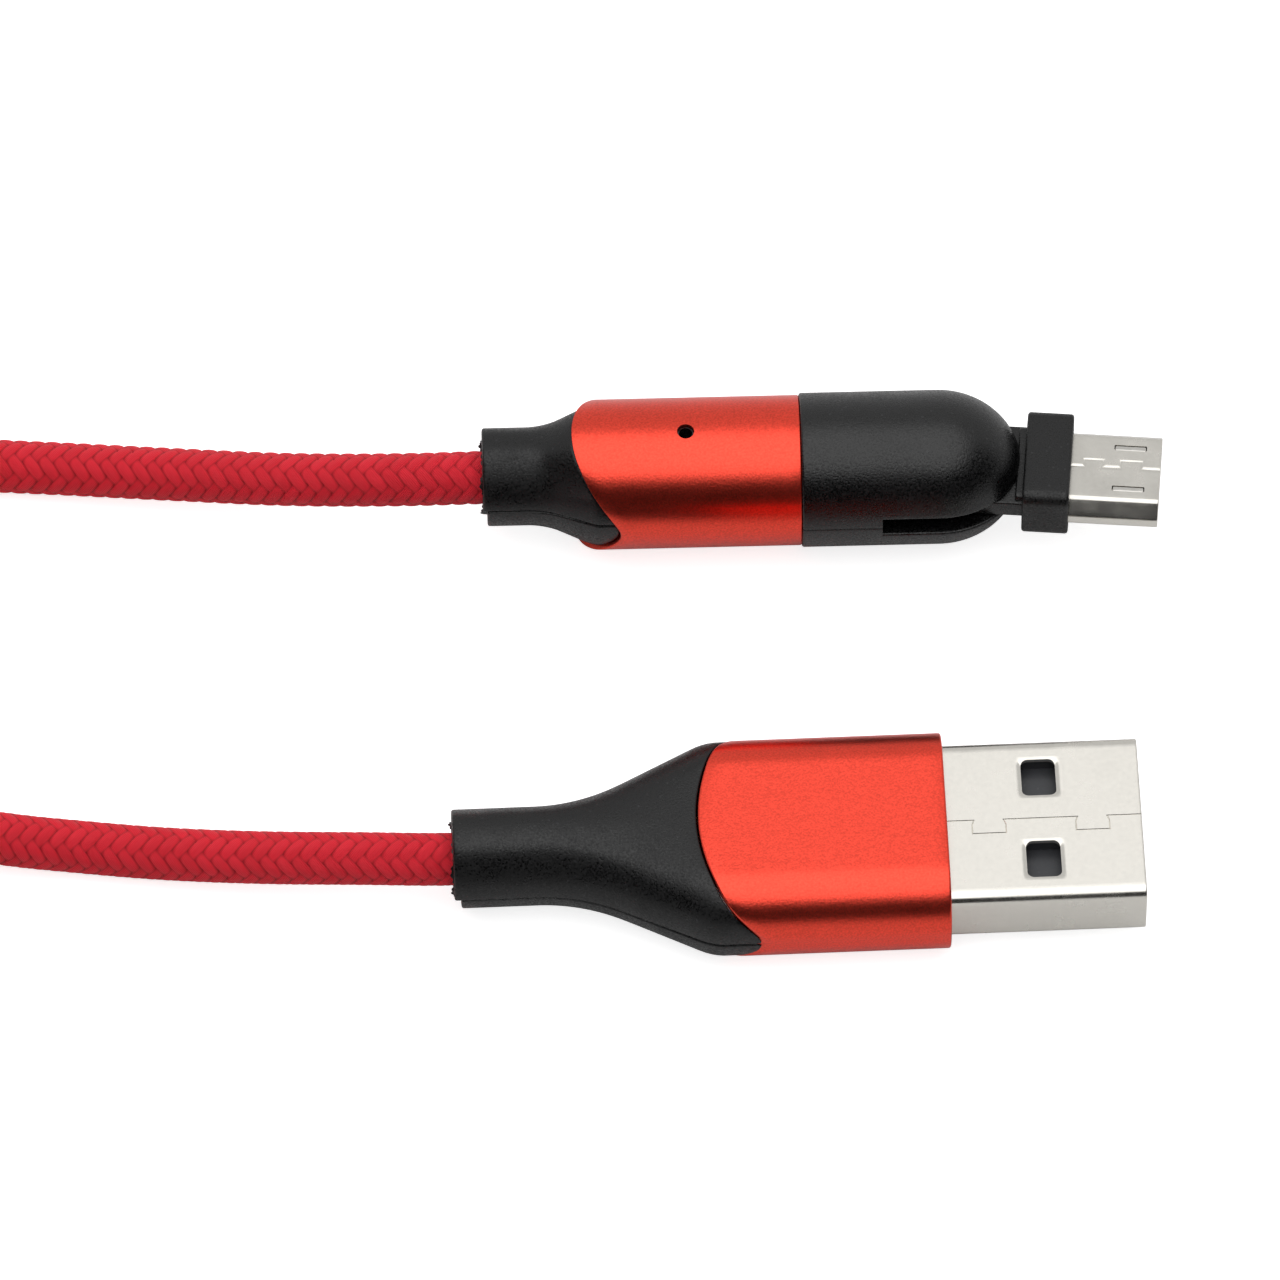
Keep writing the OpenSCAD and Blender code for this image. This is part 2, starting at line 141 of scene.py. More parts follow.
def smooth_path(route, step):
    """A centripetal Catmull-Rom curve through the route, resampled at even steps whose size
    may vary along it."""
    p = np.vstack([2 * route[0] - route[1], route, 2 * route[-1] - route[-2]])
    n = len(route) - 1
    knot = np.concatenate([[0], np.cumsum(np.linalg.norm(np.diff(p, axis=0), axis=1) ** 0.5)])
    t = np.linspace(0, 1, 40, endpoint=False)[None, :, None]
    k = [knot[i:i + n, None, None] for i in range(4)]
    v = [p[i:i + n, None, :] for i in range(4)]
    at = k[1] + (k[2] - k[1]) * t
    a = [((k[i + 1] - at) * v[i] + (at - k[i]) * v[i + 1]) / (k[i + 1] - k[i]) for i in range(3)]
    b = [((k[i + 2] - at) * a[i] + (at - k[i]) * a[i + 1]) / (k[i + 2] - k[i]) for i in range(2)]
    curve = ((k[2] - at) * b[0] + (at - k[1]) * b[1]) / (k[2] - k[1])
    curve = np.vstack([curve.reshape(-1, 3), route[-1]])
    run = np.concatenate([[0], np.cumsum(np.linalg.norm(np.diff(curve, axis=0), axis=1))])
    want = step(run)
    return np.stack([np.interp(want, run, curve[:, i]) for i in range(3)], axis=1), want


def cord_steps(run):
    """Rings close together on the first and last 44 mm, and further apart on the hank."""
    fine, coarse, near = 0.13, 0.8, 44
    return np.concatenate([np.arange(0, near, fine),
                           np.arange(near, run[-1] - near, coarse),
                           np.arange(run[-1] - near, run[-1] + fine, fine)])


strand_pitch = 1.03
strands_each_way = 8
strand_lift = 0.08
strand_fall = 0.065
strand_bluntness = 0.6
braid_inset = 0.10


def braid_height(around, along):
    """How far the braid stands at a point: each strand passes over two of the other set and
    under the next two, its middle stands above its edges, and the higher strand shows."""
    s_line, z_line = around + along + 0.5, around - along + 0.5
    s, z = s_line % 1 - 0.5, z_line % 1 - 0.5
    wave = [np.cos(np.pi * ((np.floor(own) + 0.5 + other) / 2 - 0.75))
            for own, other in ((s_line, z_line), (z_line, s_line))]
    s_wave, z_wave = (np.sign(w) * np.abs(w) ** strand_bluntness for w in wave)
    s_fall, z_fall = (strand_fall * ((2 * across) ** 2 + (2 * across) ** 6) for across in (s, z))
    return np.maximum(strand_lift * s_wave - s_fall, -strand_lift * z_wave - z_fall)


def tube_mesh(name, path, rings, around=48):
    """A tube along the path, its radius following the braid, closed by a fan at each end. The
    braid is modelled where the rings are close and left to the bump elsewhere. The UV map
    counts strand spacings round the cord and along it."""
    tangent = np.gradient(path, axis=0)
    tangent /= np.linalg.norm(tangent, axis=1)[:, None]
    side = np.cross([0, 0, 1], tangent)
    side /= np.linalg.norm(side, axis=1)[:, None]
    up = np.cross(tangent, side)
    u = np.arange(around) / around * strands_each_way
    v = rings / strand_pitch
    step = np.gradient(rings)
    relief = np.clip((0.5 - step) / 0.3, 0, 1)[:, None]
    height = braid_height(u[None, :], v[:, None]) * relief
    radius = cord_d / 2 - braid_inset * relief + height
    angle = 2 * np.pi * u / strands_each_way
    ring = (path[:, None, :] + radius[..., None]
            * (np.cos(angle)[None, :, None] * side[:, None, :]
               + np.sin(angle)[None, :, None] * up[:, None, :]))
    n = len(path)
    verts = np.vstack([ring.reshape(-1, 3), path[0], path[-1]]) * MM
    i, k = np.meshgrid(np.arange(n - 1), np.arange(around), indexing="ij")
    k2 = (k + 1) % around
    quads = np.stack([i * around + k, i * around + k2, (i + 1) * around + k2,
                      (i + 1) * around + k], axis=-1).reshape(-1, 4)
    first = [(n * around, (k + 1) % around, k) for k in range(around)]
    last = [(n * around + 1, (n - 1) * around + k, (n - 1) * around + (k + 1) % around)
            for k in range(around)]
    mesh = bpy.data.meshes.new(name)
    mesh.from_pydata(verts.tolist(), [], quads.tolist() + first + last)
    uv = mesh.uv_layers.new(name="braid")
    corner_u = np.stack([u[k], u[k] + strands_each_way / around] * 2, axis=-1)
    corner_u = corner_u[..., [0, 1, 3, 2]].reshape(-1)
    corner_v = np.stack([v[i], v[i], v[i + 1], v[i + 1]], axis=-1).reshape(-1)
    flat = np.zeros(len(mesh.loops) * 2)
    flat[0:2 * len(corner_u):2] = corner_u
    flat[1:2 * len(corner_u):2] = corner_v
    uv.data.foreach_set("uv", flat)
    shown = mesh.attributes.new("relief", "FLOAT", "POINT")
    shown.data.foreach_set("value", np.concatenate([np.repeat(relief[:, 0], around), [1, 1]]))
    mesh.shade_smooth()
    obj = bpy.data.objects.new(name, mesh)
    bpy.context.scene.collection.objects.link(obj)
    return obj


cord_route = np.vstack([micro_route, hank_track(), usb_route[::-1]])
cord_path, cord_rings = smooth_path(cord_route, cord_steps)
cord = tube_mesh("braided_cord", cord_path, cord_rings)

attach(cord, "body")
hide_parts("micro_lead", "usb_lead", "cable_hank")


def add(tree, kind, links=None, **settings):
    """Adds a shader node. Each entry of links is a value or another node's output."""
    made = tree.nodes.new(kind)
    for name, value in settings.items():
        setattr(made, name, value)
    for name, value in (links or {}).items():
        if isinstance(value, bpy.types.NodeSocket):
            tree.links.new(value, made.inputs[name])
        else:
            made.inputs[name].default_value = value
    return made


def maths(tree, operation, *values):
    """One arithmetic node, and its result."""
    made = add(tree, "ShaderNodeMath", dict(enumerate(values)), operation=operation)
    return made.outputs[0]


def remap(tree, value, low, high, to_low=0.0, to_high=1.0, **settings):
    """A value carried from one range to another, and held inside it."""
    made = add(tree, "ShaderNodeMapRange", {"Value": value, "From Min": low, "From Max": high,
                                            "To Min": to_low, "To Max": to_high}, **settings)
    return made.outputs[0]


def blank_material(name, **constants):
    """A new material and its Principled BSDF, with its constant sockets set."""
    made = bpy.data.materials.new(name)
    made.use_nodes = True
    surface = made.node_tree.nodes["Principled BSDF"]
    for socket, value in constants.items():
        surface.inputs[socket.replace("_", " ")].default_value = value
    return made, made.node_tree, surface


def blend_colours(tree, share, first, second, blend="MIX"):
    """A colour between two, by the share."""
    made = add(tree, "ShaderNodeMix", data_type="RGBA", blend_type=blend)
    for number, value in ((0, share), (6, first), (7, second)):
        socket = made.inputs[number]
        if isinstance(value, bpy.types.NodeSocket):
            tree.links.new(value, socket)
        else:
            socket.default_value = value if isinstance(value, (int, float)) else (*value, 1)
    return made.outputs[2]


def nylon_braid():
    """Dyed nylon yarn. The pattern follows the strands of the UV map: each strand is made of
    fine filaments and is a little lighter or darker than the next. Where it dips under the
    other set, its colour is painted darker as painted shade."""
    # The first colour is painted shade for where a strand dips under the other set; the rest are the yarn's own
    # reds and its fluff.
    painted_dip_shade, darker, lighter, fluff = ((0.38, 0.002, 0.008), (0.84, 0.008, 0.025),
                                       (0.98, 0.014, 0.036), (1.0, 0.065, 0.090))
    filaments_across, filament_height, fluff_height = 7, 0.020, 0.035
    made, tree, surface = blank_material("dyed_nylon_braid", Sheen_Weight=0.08, Sheen_Roughness=0.5,
                                         Sheen_Tint=(1, 0.3, 0.3, 1), Specular_IOR_Level=0.3)
    uv = add(tree, "ShaderNodeUVMap", uv_map="braid")
    parts = add(tree, "ShaderNodeSeparateXYZ", {0: uv.outputs[0]})
    around, along = parts.outputs[0], parts.outputs[1]
    s_line = maths(tree, "ADD", maths(tree, "ADD", around, along), 100.5)
    z_line = maths(tree, "ADD", maths(tree, "SUBTRACT", around, along), 2000.5)
    s_across = maths(tree, "SUBTRACT", maths(tree, "FRACT", s_line), 0.5)
    z_across = maths(tree, "SUBTRACT", maths(tree, "FRACT", z_line), 0.5)

    def strand_height(own, other, across, lift):
        """The skin of one strand, as in braid_height: it rises and dips along the strand, two
        crossings each, and falls off to both sides as a low arch with steep edges."""
        middle = maths(tree, "ADD", maths(tree, "FLOOR", own), 0.5)
        crossing = maths(tree, "SUBTRACT", maths(tree, "ADD", middle, other), 1.5)
        wave = maths(tree, "COSINE", maths(tree, "MULTIPLY", crossing, math.pi / 2))
        raised = maths(tree, "MULTIPLY", maths(tree, "SIGN", wave),
                       maths(tree, "POWER", maths(tree, "ABSOLUTE", wave), strand_bluntness))
        aside = maths(tree, "MULTIPLY", maths(tree, "ABSOLUTE", across), 2.0)
        square = maths(tree, "POWER", aside, 2.0)
        steep = maths(tree, "POWER", square, 3.0)
        fall = maths(tree, "MULTIPLY", maths(tree, "ADD", square, steep), strand_fall)
        return maths(tree, "SUBTRACT", maths(tree, "MULTIPLY", raised, lift), fall)

    s_height = strand_height(s_line, z_line, s_across, strand_lift)
    z_height = strand_height(z_line, s_line, z_across, -strand_lift)
    s_on_top = maths(tree, "GREATER_THAN", s_height, z_height)
    height = maths(tree, "MAXIMUM", s_height, z_height)

    def of_top(s_value, z_value):
        """The value of whichever strand shows."""
        made = add(tree, "ShaderNodeMix", {0: s_on_top, 2: z_value, 3: s_value})
        return made.outputs[0]

    across = of_top(s_across, z_across)
    strand = of_top(maths(tree, "FLOOR", s_line), maths(tree, "FLOOR", z_line))
    filaments = maths(tree, "SINE", maths(tree, "MULTIPLY", across, 2 * math.pi * filaments_across))
    place = add(tree, "ShaderNodeCombineXYZ",
                {0: maths(tree, "MULTIPLY", across, 5.0), 1: strand, 2: along})
    fuzz = add(tree, "ShaderNodeTexNoise", {"Vector": place.outputs[0], "Scale": 2.2, "Detail": 3.0})
    shade = add(tree, "ShaderNodeTexWhiteNoise", {"W": strand}, noise_dimensions="1D")
    # Painted shade: the colour runs down to the dark red where the strand lies low, dipping under the other set.
    depth = remap(tree, height, -0.10, 0.03)
    lit = blend_colours(tree, shade.outputs[0], darker, lighter)
    lit = blend_colours(tree, maths(tree, "MULTIPLY", fuzz.outputs[0], 0.45), lit, fluff)
    colour = blend_colours(tree, depth, painted_dip_shade, lit)
    tree.links.new(colour, surface.inputs["Base Color"])
    tree.links.new(remap(tree, fuzz.outputs[0], 0.0, 1.0, 0.48, 0.70), surface.inputs["Roughness"])
    shown = add(tree, "ShaderNodeAttribute", attribute_name="relief")
    modelled = maths(tree, "MULTIPLY", height, maths(tree, "SUBTRACT", 1.0, shown.outputs["Fac"]))
    fine = maths(tree, "ADD", maths(tree, "MULTIPLY", filaments, filament_height),
                 maths(tree, "MULTIPLY", fuzz.outputs[0], fluff_height))
    bump = add(tree, "ShaderNodeBump", {"Height": maths(tree, "ADD", modelled, fine),
                                        "Distance": 1.0 * MM, "Strength": 0.9})
    tree.links.new(bump.outputs[0], surface.inputs["Normal"])
    return made


cord.data.materials.append(nylon_braid())


# ---- Sleeves ---------------------------------------------------------
# Two aluminium sleeves, drawn to shape, blasted and anodised red. Each is pushed over its inner
# mould, and its rear edge is milled to a tongue above and below, its edges lightly broken.

mouth_mount = next(m for m in frame["record"]["mounts"] if m["name"] == "usb_a_plug")
usb_mouth = Vector(mouth_mount["pos_m"]) / MM
pivot = np.array(frame["joints"][0]["pos_m"]) / MM
usb_front = np.array([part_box("usb_sleeve")[1].x / MM, usb_mouth.y, usb_mouth.z])
micro_yaw, head_roll, boot_roll, swivel_rest = -1, -5, -10, -5.7


def turned(yaw, roll=0, swivel=0):
    """Three directions, as rows: turned about the upright by the yaw, rolled about the new X,
    then turned about the new Z. All in degrees."""
    turn = [Matrix.Rotation(math.radians(angle), 3, axis)
            for angle, axis in ((yaw, "Z"), (roll, "X"), (swivel, "Z"))]
    return np.array((turn[0] @ turn[1] @ turn[2]).transposed())


at_usb = usb_front, turned(0)
at_micro = pivot, turned(micro_yaw)
at_head = pivot, turned(micro_yaw, head_roll)
at_micro_boot = pivot, turned(micro_yaw, boot_roll)
at_plug = pivot, turned(micro_yaw, head_roll, swivel_rest)


def grid_faces(rows, columns, round_rows=False, round_columns=False):
    """Quads over a grid of points, which may join up with itself either way."""
    r, c = np.meshgrid(np.arange(rows - (not round_rows)),
                       np.arange(columns - (not round_columns)), indexing="ij")
    r2, c2 = (r + 1) % rows, (c + 1) % columns
    return np.stack([r * columns + c, r2 * columns + c, r2 * columns + c2, r * columns + c2],
                    axis=-1).reshape(-1, 4).tolist()


def crease(mesh, angle=35):
    """Smooth shading, with sharp edges only where faces meet at more than the angle."""
    mesh.shade_smooth()
    mesh.set_sharp_from_angle(angle=math.radians(angle))


def solid(name, points, faces, place):
    """A closed mesh from points in millimetres, put in its place, its faces pointing out."""
    origin, turn = place
    mesh = bpy.data.meshes.new(name)
    mesh.from_pydata(((np.asarray(points) @ turn + origin) * MM).tolist(), [], faces)
    shell = bmesh.new()
    shell.from_mesh(mesh)
    bmesh.ops.recalc_face_normals(shell, faces=shell.faces)
    shell.to_mesh(mesh)
    shell.free()
    crease(mesh)
    obj = bpy.data.objects.new(name, mesh)
    bpy.context.scene.collection.objects.link(obj)
    return obj


def cut(obj, *tools):
    """Cuts each tool out of the piece, applies the cut and removes the tools."""
    for tool in tools:
        carve = obj.modifiers.new("cut", "BOOLEAN")
        carve.object = tool
        carve.solver = "EXACT"
    whole = obj.data
    carved = obj.evaluated_get(bpy.context.evaluated_depsgraph_get())
    obj.data = bpy.data.meshes.new_from_object(carved)
    obj.modifiers.clear()
    obj.data.name = whole.name + "_cut"
    bpy.data.meshes.remove(whole)
    for tool in tools:
        bpy.data.objects.remove(tool)
    crease(obj.data)


def fit(obj, material, node=None, body="body"):
    """Gives the piece its material and body, and the CAD node that it stands for."""
    obj.data.materials.clear()
    obj.data.materials.append(material)
    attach(obj, body)
    if node:
        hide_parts(node)


def corner_normals(outline):
    """For each point of a closed outline, the way out, long enough that a shift by it moves
    both neighbouring edges by one millimetre."""
    edge = np.roll(outline, -1, axis=0) - outline
    edge /= np.linalg.norm(edge, axis=1)[:, None]
    after = np.stack([edge[:, 1], -edge[:, 0]], axis=1)
    before = np.roll(after, 1, axis=0)
    return (after + before) / (1 + (after * before).sum(axis=1))[:, None]


def rounded_outline(corners, radius, spacing=0.4, arc=8):
    """A closed outline, anticlockwise, with each corner an arc and its straights in steps no
    longer than the spacing."""
    corners = np.asarray(corners, float)
    radius = np.broadcast_to(radius, len(corners))
    points = []
    for before, at, after, r in zip(np.roll(corners, 1, 0), corners, np.roll(corners, -1, 0), radius):
        a, b = (before - at) / np.linalg.norm(before - at), (after - at) / np.linalg.norm(after - at)
        half = math.acos(np.clip(a @ b, -1, 1)) / 2
        middle = at + (a + b) / np.linalg.norm(a + b) * r / math.sin(half)
        start = at + a * r / math.tan(half) - middle
        turn = (math.pi - 2 * half) * np.linspace(0, 1, arc + 1)
        points.append(middle + np.stack([start[0] * np.cos(turn) - start[1] * np.sin(turn),
                                         start[0] * np.sin(turn) + start[1] * np.cos(turn)], axis=1))
    ring = np.vstack(points)
    filled = []
    for here, there in zip(ring, np.roll(ring, -1, axis=0)):
        pieces = max(1, math.ceil(np.linalg.norm(there - here) / spacing))
        filled.append(here + (there - here) * np.arange(pieces)[:, None] / pieces)
    return np.vstack(filled)


def rectangle(width, height):
    """The corners of a centred rectangle, anticlockwise."""
    return [(width / 2, -height / 2), (width / 2, height / 2), (-width / 2, height / 2),
            (-width / 2, -height / 2)]


def disc(radius, count=160):
    """The outline of a circle, anticlockwise."""
    angle = np.linspace(0, 2 * np.pi, count, endpoint=False)
    return np.stack([np.cos(angle), np.sin(angle)], axis=1) * radius


def wall_section(wall, edge, rows):
    """A wall's section as one closed line, out along its outer face and back along its inner
    one: the share of its length, how far past that, and the depth. Its edges are rounded."""
    a = np.linspace(0, np.pi / 2, 4)
    dip, inset = edge * (1 - np.sin(a)), edge * (1 - np.cos(a))
    t = np.linspace(0, 1, rows + 2)[1:-1]
    none = np.zeros(4)
    share = np.concatenate([none, t, none + 1, none + 1, t[::-1], none])
    past = np.concatenate([inset, edge * (1 - 2 * t), -inset[::-1], -inset,
                           edge * (1 - 2 * t[::-1]), inset[::-1]])
    depth = np.concatenate([dip, 0 * t, dip[::-1], wall - dip, 0 * t + wall, wall - dip[::-1]])
    return share, past, depth


def walled_tube(outline, wall, rear, front, edge, rows=14):
    """A tube along X with a rounded edge all round both ends. Rear gives the place of each
    rear end point from where it lies in the section."""
    share, past, depth = wall_section(wall, edge, rows)
    across = outline[:, None, :] - corner_normals(outline)[:, None, :] * depth[None, :, None]
    x = rear(across[..., 0], across[..., 1]) * (1 - share) + front * share + past
    points = np.concatenate([x[..., None], across], axis=-1).reshape(-1, 3)
    return points, grid_faces(len(outline), len(share), True, True)


def flat_tongue(y, z):
    """The large sleeve's rear edge: half an ellipse seen from above, its tip on the middle
    line. Beside it the cut is drawn back towards its upper and lower edges, so its end is round."""
    ear = 1.2
    out, up = np.abs(2 * y / usb_sleeve_w), np.abs(2 * z / usb_sleeve_h)
    ellipse = usb_tip + usb_scallop * (1 - np.sqrt(np.clip(1 - out ** 2, 0, 1)))
    return ellipse - ear * up ** 2 * out ** 5


def round_tongue(y, z):
    """The small sleeve's rear edge, cut back evenly from its tips above and below to the
    sides, where the cut is rounded."""
    soft = 0.22
    rise = np.sqrt((z / micro_sleeve_r) ** 2 + soft ** 2) - soft
    return micro_tip + micro_scallop * (1 - rise / (math.sqrt(1 + soft ** 2) - soft))


def fine_grain():
    """A shader group: fine grains, wide patches and sparse specks, for any matt surface."""
    group = bpy.data.node_groups.new("fine_grain", "ShaderNodeTree")
    for name, way, value in (("Grain Size mm", "INPUT", 0.1), ("Patch Size mm", "INPUT", 3.0),
                             ("Height", "OUTPUT", 0), ("Patches", "OUTPUT", 0), ("Specks", "OUTPUT", 0)):
        socket = group.interface.new_socket(name, in_out=way, socket_type="NodeSocketFloat")
        socket.default_value = value
    given = group.nodes.new("NodeGroupInput")
    result = group.nodes.new("NodeGroupOutput")
    where = add(group, "ShaderNodeTexCoord")
    grain_scale = maths(group, "DIVIDE", 1 / MM, given.outputs[0])
    patch_scale = maths(group, "DIVIDE", 1 / MM, given.outputs[1])
    grain = add(group, "ShaderNodeTexNoise", {"Vector": where.outputs["Object"], "Scale": grain_scale,
                                             "Detail": 2.0})
    patches = add(group, "ShaderNodeTexNoise", {"Vector": where.outputs["Object"], "Scale": patch_scale,
                                               "Detail": 5.0, "Roughness": 0.6})
    cells = add(group, "ShaderNodeTexVoronoi", {"Vector": where.outputs["Object"],
                                               "Scale": maths(group, "MULTIPLY", grain_scale, 0.22)})
    specks = remap(group, cells.outputs["Distance"], 0.10, 0.16, 1.0, 0.0)
    for output, value in enumerate((grain.outputs[0], patches.outputs[0], specks)):
        group.links.new(value, result.inputs[output])
    return group


grain_group = fine_grain()


def grained(name, colour, roughness, grain, bump, patch=3.0, tone=0.12, mottle=0.0, sparkle=0.0,
            specks=0.0, speck_colour=(1, 1, 1), unevenness=0.08, **constants):
    """A material with a grain: its colour and its roughness drift in patches, each grain is a
    little darker or lighter and a little smoother or rougher, specks show in it, and its
    grains stand the bump's height above it, in millimetres."""
    made, tree, surface = blank_material(name, **constants)
    grains = add(tree, "ShaderNodeGroup", node_tree=grain_group)
    grains.inputs[0].default_value = grain
    grains.inputs[1].default_value = patch
    darker, lighter = (tuple(min(1, c * k) for c in colour) for k in (1 - tone, 1 + tone))
    base = blend_colours(tree, grains.outputs["Patches"], darker, lighter)
    shade = remap(tree, grains.outputs["Height"], 0.3, 0.7, 1 - mottle, 1 + mottle)
    base = blend_colours(tree, 1.0, base, shade, "MULTIPLY")
    speckled = maths(tree, "MULTIPLY", grains.outputs["Specks"], specks)
    base = blend_colours(tree, speckled, base, speck_colour)
    tree.links.new(base, surface.inputs["Base Color"])
    rough = remap(tree, grains.outputs["Patches"], 0.3, 0.7, roughness - unevenness,
                  roughness + unevenness)
    glint = remap(tree, grains.outputs["Height"], 0.3, 0.7, -sparkle, sparkle)
    tree.links.new(maths(tree, "ADD", rough, glint), surface.inputs["Roughness"])
    raised = add(tree, "ShaderNodeBump", {"Height": grains.outputs["Height"], "Distance": bump * MM})
    tree.links.new(raised.outputs[0], surface.inputs["Normal"])
    return made


anodised_red = grained("blasted_red_anodising", (0.88, 0.074, 0.044), 0.30, 0.13, 0.011, patch=5.0,
                       tone=0.05, mottle=0.16, unevenness=0.02, Metallic=1.0, Coat_Weight=0.12,
                       Coat_Roughness=0.35)
sleeve_wall = 0.8
usb_sleeve_w, usb_sleeve_h, usb_corner = 14.6, 7.2, 3.3
usb_break, micro_break = 0.14, 0.12
usb_tip, usb_scallop = -15.8, 4.4
usb_outline = rounded_outline(rectangle(usb_sleeve_w, usb_sleeve_h), usb_corner, 0.25, 20)
usb_sleeve = solid("anodised_usb_sleeve",
                   *walled_tube(usb_outline, sleeve_wall, flat_tongue, 0, usb_break), at_usb)
fit(usb_sleeve, anodised_red, "usb_sleeve")

head_base = -8.9
micro_sleeve_r = 4.85
micro_tip, micro_scallop = head_base - 14.8, 3.1
micro_sleeve = solid("anodised_micro_sleeve",
                     *walled_tube(disc(micro_sleeve_r, 240), sleeve_wall, round_tongue, head_base,
                                  micro_break), at_micro)


def slab(outline, levels, along_x=False):
    """A solid of stacked outlines. Each level is how far it is drawn in and where it lies."""
    inset, place = np.asarray(levels, float).T
    flat = outline[None] - corner_normals(outline)[None] * inset[:, None, None]
    height = np.broadcast_to(place[:, None, None], (*flat.shape[:2], 1))
    points = np.concatenate([height, flat] if along_x else [flat, height], axis=-1).reshape(-1, 3)
    n = len(outline)
    caps = [list(range(n)), list(range((len(levels) - 1) * n, len(levels) * n))]
    return points, grid_faces(len(levels), n, False, True) + caps


light_hole_x, light_hole_r = head_base - 7.4, 0.55
light_hole = disc(light_hole_r, 48) + [light_hole_x, 0]
cut(micro_sleeve, solid("hole", *slab(light_hole, [(0, 3), (0, 6)]), at_micro))
fit(micro_sleeve, anodised_red, "micro_sleeve")


# ---- Light hole liner ------------------------------------------------
# A short bush lines the hole over the status light, so that no raw edge shows; its black walls are also painted
# shade down the hole. It is moulded in
# # the same matt black plastic as the boots, with a spark-eroded grain.

black_plastic = grained("matt_black_moulding", (0.0030, 0.0030, 0.0033), 0.40, 0.13, 0.022, patch=2.5,
                        tone=0.3, mottle=0.5, sparkle=0.20, specks=0.06, speck_colour=(0.25, 0.25, 0.27),
                        Specular_IOR_Level=0.46)
liner_low, liner_high, liner_round = 2.9, 4.55, 48
wall_line = light_hole_r - np.array([0.03, 0.03, 0.12, 0.12])
about = np.linspace(0, 2 * np.pi, liner_round, endpoint=False)[:, None]
liner = np.stack([light_hole_x + wall_line * np.cos(about), wall_line * np.sin(about),
                  np.broadcast_to([liner_low, liner_high, liner_high, liner_low],
                                  (liner_round, 4))], axis=-1)
fit(solid("light_hole_liner", liner.reshape(-1, 3), grid_faces(liner_round, 4, True, True), at_micro),
    black_plastic)


# ---- Boots -----------------------------------------------------------
# Each cable boot is two moulded half shells that meet at a fine parting line and grip the cord.
# Each fills the cut behind a sleeve, and a thin rag of flash is left where the cord comes out.

boot_gap = 0.1
bore_r = 1.80
soft_end = 0.10
part_steps = np.linspace(0, 1, 10) ** 2


def half_outline(half_width, half_height, corner):
    """The upper half of a rounded rectangle, from one side over the top to the other."""
    turn = np.linspace(0, np.pi / 2, 14)[1:]
    side = half_height - corner
    quarter = np.vstack([np.stack([0 * part_steps + half_width, side * part_steps], axis=1),
                         np.stack([half_width - corner + corner * np.cos(turn),
                                   side + corner * np.sin(turn)], axis=1),
                         np.stack([np.linspace(half_width - corner, 0, 12)[1:],
                                   np.full(11, half_height)], axis=1)])
    return np.vstack([quarter, quarter[-2::-1] * [-1, 1]])


def half_disc(radius, shares):
    """The upper half of a circle, from one side over the top to the other."""
    return np.stack([np.cos(np.pi * shares), np.sin(np.pi * shares)], axis=1) * radius


def shouldered(radius, shares):
    """The upper half of a boot's rear end: a bar a little higher than it is wide, flattened at
    its shoulders. Its radius of curvature goes with the tilt of its skin: middling over the
    top, small beside it, large on the shoulders, and the bar's own beside the parting plane."""
    top_radius, flattened = 4.5, 0.97
    changes = (-2.8, 8, 1.5), (4.1, 41, 3), (-2.62, 63, 2)
    tilt = np.linspace(0, np.pi / 2, 400)
    curve = top_radius + sum(change / (1 + np.exp((lean - np.degrees(tilt)) / spread))
                             for change, lean, spread in changes)
    step = curve * (tilt[1] - tilt[0])
    side, drop = np.cumsum(step * np.cos(tilt)), np.cumsum(step * np.sin(tilt))
    scale = radius / side[-1]
    arc = np.linspace(0, 1, 400)
    share = np.where(shares < 0.5, 1 - 2 * shares, 2 * shares - 1)
    y = np.interp(share, arc, side * scale) * np.where(shares < 0.5, 1, -1)
    z = np.interp(share, arc, (drop[-1] - drop) * scale * flattened)
    return np.stack([y, z], axis=1)


def boot_half(outside, inside, tube_r, rear, start, length, edge, roll, side):
    """Half a boot, swept along X. Its section grows from the tube's half circle to the sleeve's
    outline: slowly at first, as a parabola, then as a straight flare that turns in softly where
    it is full, at the sleeve's edge. Beside the parting plane its skin dips a little."""
    edge_round, groove, groove_width = 0.14, 0.16, 0.085
    run = np.concatenate([[0], np.cumsum(np.linalg.norm(np.diff(outside, axis=0), axis=1))])
    shares = run / run[-1]
    share, past, depth = wall_section(1, edge_round, 44)
    tube, bore = shouldered(tube_r, shares), half_disc(bore_r, shares)
    near = np.minimum(outside[:, 1], outside[::-1, 1])[:, None]
    depth = depth + groove * np.exp(-(near / groove_width) ** 2) * (1 - depth)
    small = tube[:, None] + (bore - tube)[:, None] * depth[..., None]
    full = outside[:, None] + (inside - outside)[:, None] * depth[..., None]
    turn = math.radians(roll * side)
    front = edge(full[..., 0] * math.cos(turn) - full[..., 1] * math.sin(turn),
                 full[..., 0] * math.sin(turn) + full[..., 1] * math.cos(turn)) - boot_gap
    x = rear * (1 - share) + front * share + past
    t = np.clip((x - start) / (np.minimum(front, start + length) - start), 0, None)
    grown = np.where(t < 0.5, 4 / 3 * t * t, 1 / 3 + 4 / 3 * (t - 0.5))
    turn_in = np.clip(1 - np.abs(grown - 1) / soft_end, 0, 1)
    size = np.minimum(grown, 1) - soft_end / 4 * turn_in ** 2
    section = small + (full - small) * size[..., None]
    points = np.stack([x, section[..., 0], section[..., 1] * side], axis=-1).reshape(-1, 3)
    n, m = x.shape
    caps = [list(range(m)), list(range((n - 1) * m, n * m))]
    return points, grid_faces(n, m, False, True) + caps


